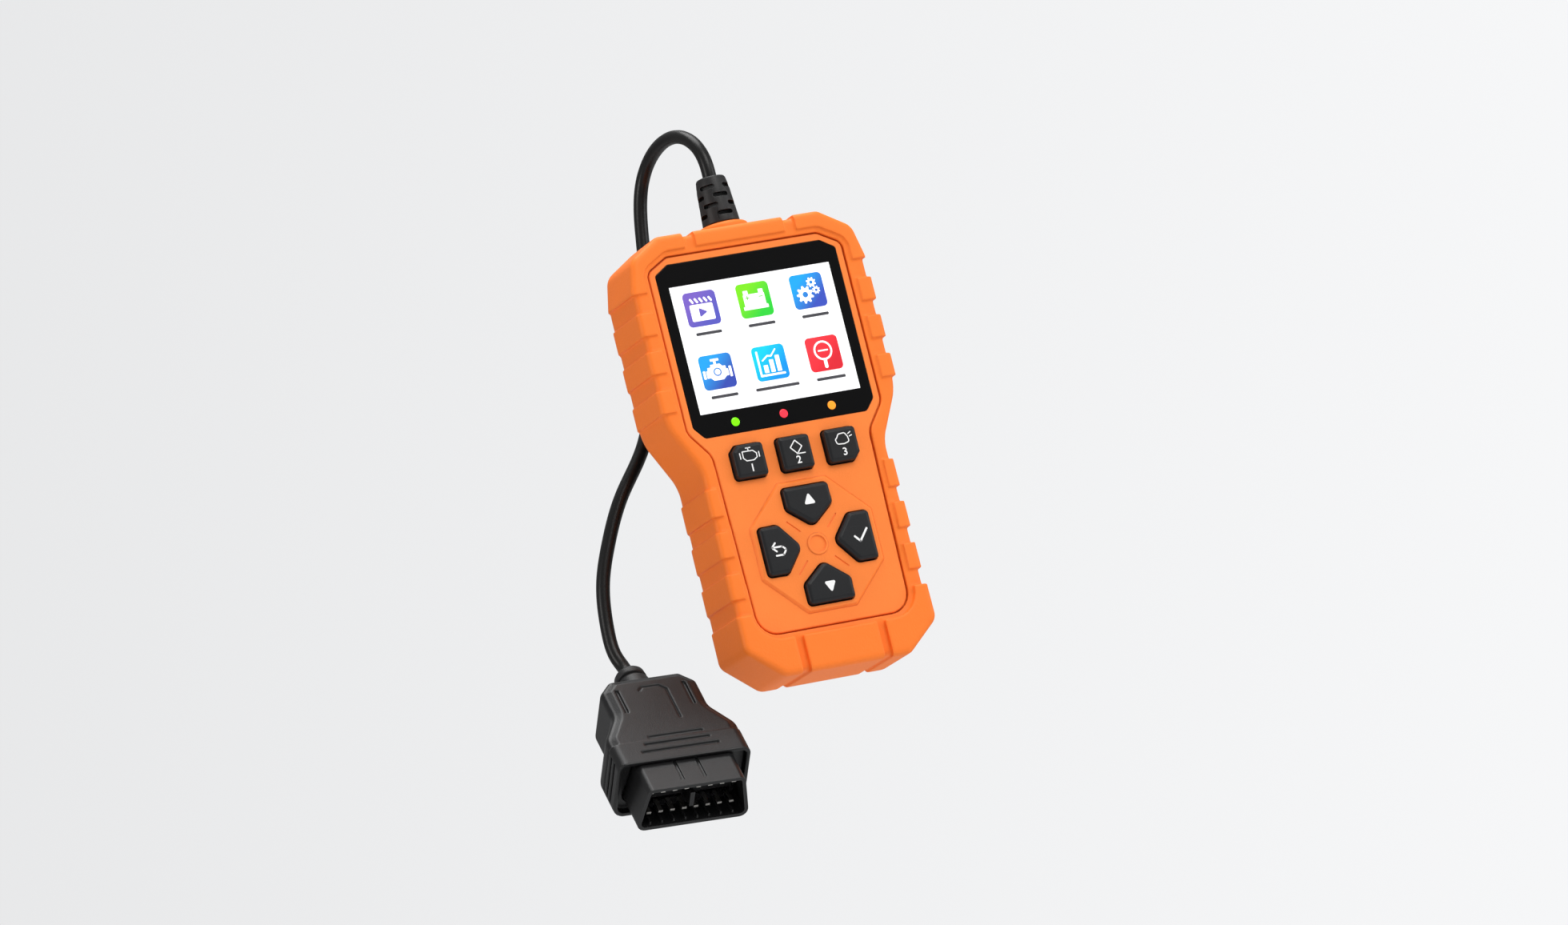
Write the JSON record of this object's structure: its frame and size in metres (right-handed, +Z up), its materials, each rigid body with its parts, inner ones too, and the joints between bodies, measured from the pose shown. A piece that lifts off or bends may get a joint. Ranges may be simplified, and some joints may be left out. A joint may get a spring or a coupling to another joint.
{
  "type": "obd code reader",
  "caption": "Hand-held vehicle code reader: colour screen and sprung keys in a ribbed sleeve, with a short cord and a pinned diagnostic plug.",
  "frame": {"origin": "middle of the hand grip: on the centre plane, level with the middle of the arrow keys, half way through the case's thickness", "axes": "+Z up along the case towards the cord outlet, screen and keys facing -Y, +X to the right as the screen is read"},
  "size_m": [0.1288, 0.0612, 0.2316],
  "materials": {
    "sleeve_rubber": "fine leather-grain soft-touch",
    "panel_plastic": "fine leather-grain matt",
    "back_plastic": "fine spark-eroded matt",
    "lens_acrylic": "polished, black border",
    "display_glass": "lit colour display",
    "tray_metal": "pressed tray",
    "lamp_green": "lit light pipe",
    "lamp_red": "lit light pipe",
    "lamp_amber": "lit light pipe",
    "mat_silicone": "matt silicone",
    "key_plastic": "satin with white legends",
    "switch_plastic": "satin",
    "board_laminate": "green solder mask",
    "chip_resin": "moulded resin",
    "crystal_can": "drawn can",
    "socket_nylon": "moulded nylon",
    "cord_jacket": "satin black jacket",
    "relief_rubber": "moulded black",
    "plug_plastic": "fine-grain moulded black",
    "nose_plastic": "smooth moulded black",
    "pin_metal": "tin-plated brass",
    "screw_steel": "blackened steel"
  },
  "bodies": {
    "reader_case": {"sleeve": "sleeve_rubber", "cord_collar": "sleeve_rubber", "front_shell": "panel_plastic", "back_shell": "back_plastic", "screen_lens": "lens_acrylic", "display_glass": "display_glass", "backlight_tray": "tray_metal", "lamp_green": "lamp_green", "lamp_red": "lamp_red", "lamp_amber": "lamp_amber", "keypad_mat": "mat_silicone", "switch_f1": "switch_plastic", "switch_f2": "switch_plastic", "switch_f3": "switch_plastic", "switch_up": "switch_plastic", "switch_down": "switch_plastic", "switch_esc": "switch_plastic", "switch_ok": "switch_plastic", "main_board": "board_laminate", "processor": "chip_resin", "memory_chip": "chip_resin", "bus_transceiver": "chip_resin", "power_regulator": "chip_resin", "buzzer": "chip_resin", "clock_crystal": "crystal_can", "cord_socket": "socket_nylon", "cord": "cord_jacket", "inner_lead": "cord_jacket", "strain_relief": "relief_rubber", "plug_relief": "relief_rubber", "plug_body": "plug_plastic", "plug_nose": "nose_plastic", "plug_pin_01": "pin_metal", "plug_pin_02": "pin_metal", "plug_pin_03": "pin_metal", "plug_pin_04": "pin_metal", "plug_pin_05": "pin_metal", "plug_pin_06": "pin_metal", "plug_pin_07": "pin_metal", "plug_pin_08": "pin_metal", "plug_pin_09": "pin_metal", "plug_pin_10": "pin_metal", "plug_pin_11": "pin_metal", "plug_pin_12": "pin_metal", "plug_pin_13": "pin_metal", "plug_pin_14": "pin_metal", "plug_pin_15": "pin_metal", "plug_pin_16": "pin_metal", "case_screw_1": "screw_steel", "case_screw_2": "screw_steel", "case_screw_3": "screw_steel", "case_screw_4": "screw_steel"},
    "key_f1": {"key_f1": "key_plastic"},
    "key_f2": {"key_f2": "key_plastic"},
    "key_f3": {"key_f3": "key_plastic"},
    "key_up": {"key_up": "key_plastic"},
    "key_down": {"key_down": "key_plastic"},
    "key_esc": {"key_esc": "key_plastic"},
    "key_ok": {"key_ok": "key_plastic"}
  },
  "joints": [
    {"name": "press_f1", "type": "slide", "parent": "reader_case", "child": "key_f1", "axis": [0, 1, 0], "range_m": [0, 0.0008], "stiffness_N_per_m": 900},
    {"name": "press_f2", "type": "slide", "parent": "reader_case", "child": "key_f2", "axis": [0, 1, 0], "range_m": [0, 0.0008], "stiffness_N_per_m": 900},
    {"name": "press_f3", "type": "slide", "parent": "reader_case", "child": "key_f3", "axis": [0, 1, 0], "range_m": [0, 0.0008], "stiffness_N_per_m": 900},
    {"name": "press_up", "type": "slide", "parent": "reader_case", "child": "key_up", "axis": [0, 1, 0], "range_m": [0, 0.0008], "stiffness_N_per_m": 900},
    {"name": "press_down", "type": "slide", "parent": "reader_case", "child": "key_down", "axis": [0, 1, 0], "range_m": [0, 0.0008], "stiffness_N_per_m": 900},
    {"name": "press_esc", "type": "slide", "parent": "reader_case", "child": "key_esc", "axis": [0, 1, 0], "range_m": [0, 0.0008], "stiffness_N_per_m": 900},
    {"name": "press_ok", "type": "slide", "parent": "reader_case", "child": "key_ok", "axis": [0, 1, 0], "range_m": [0, 0.0008], "stiffness_N_per_m": 900}
  ]
}
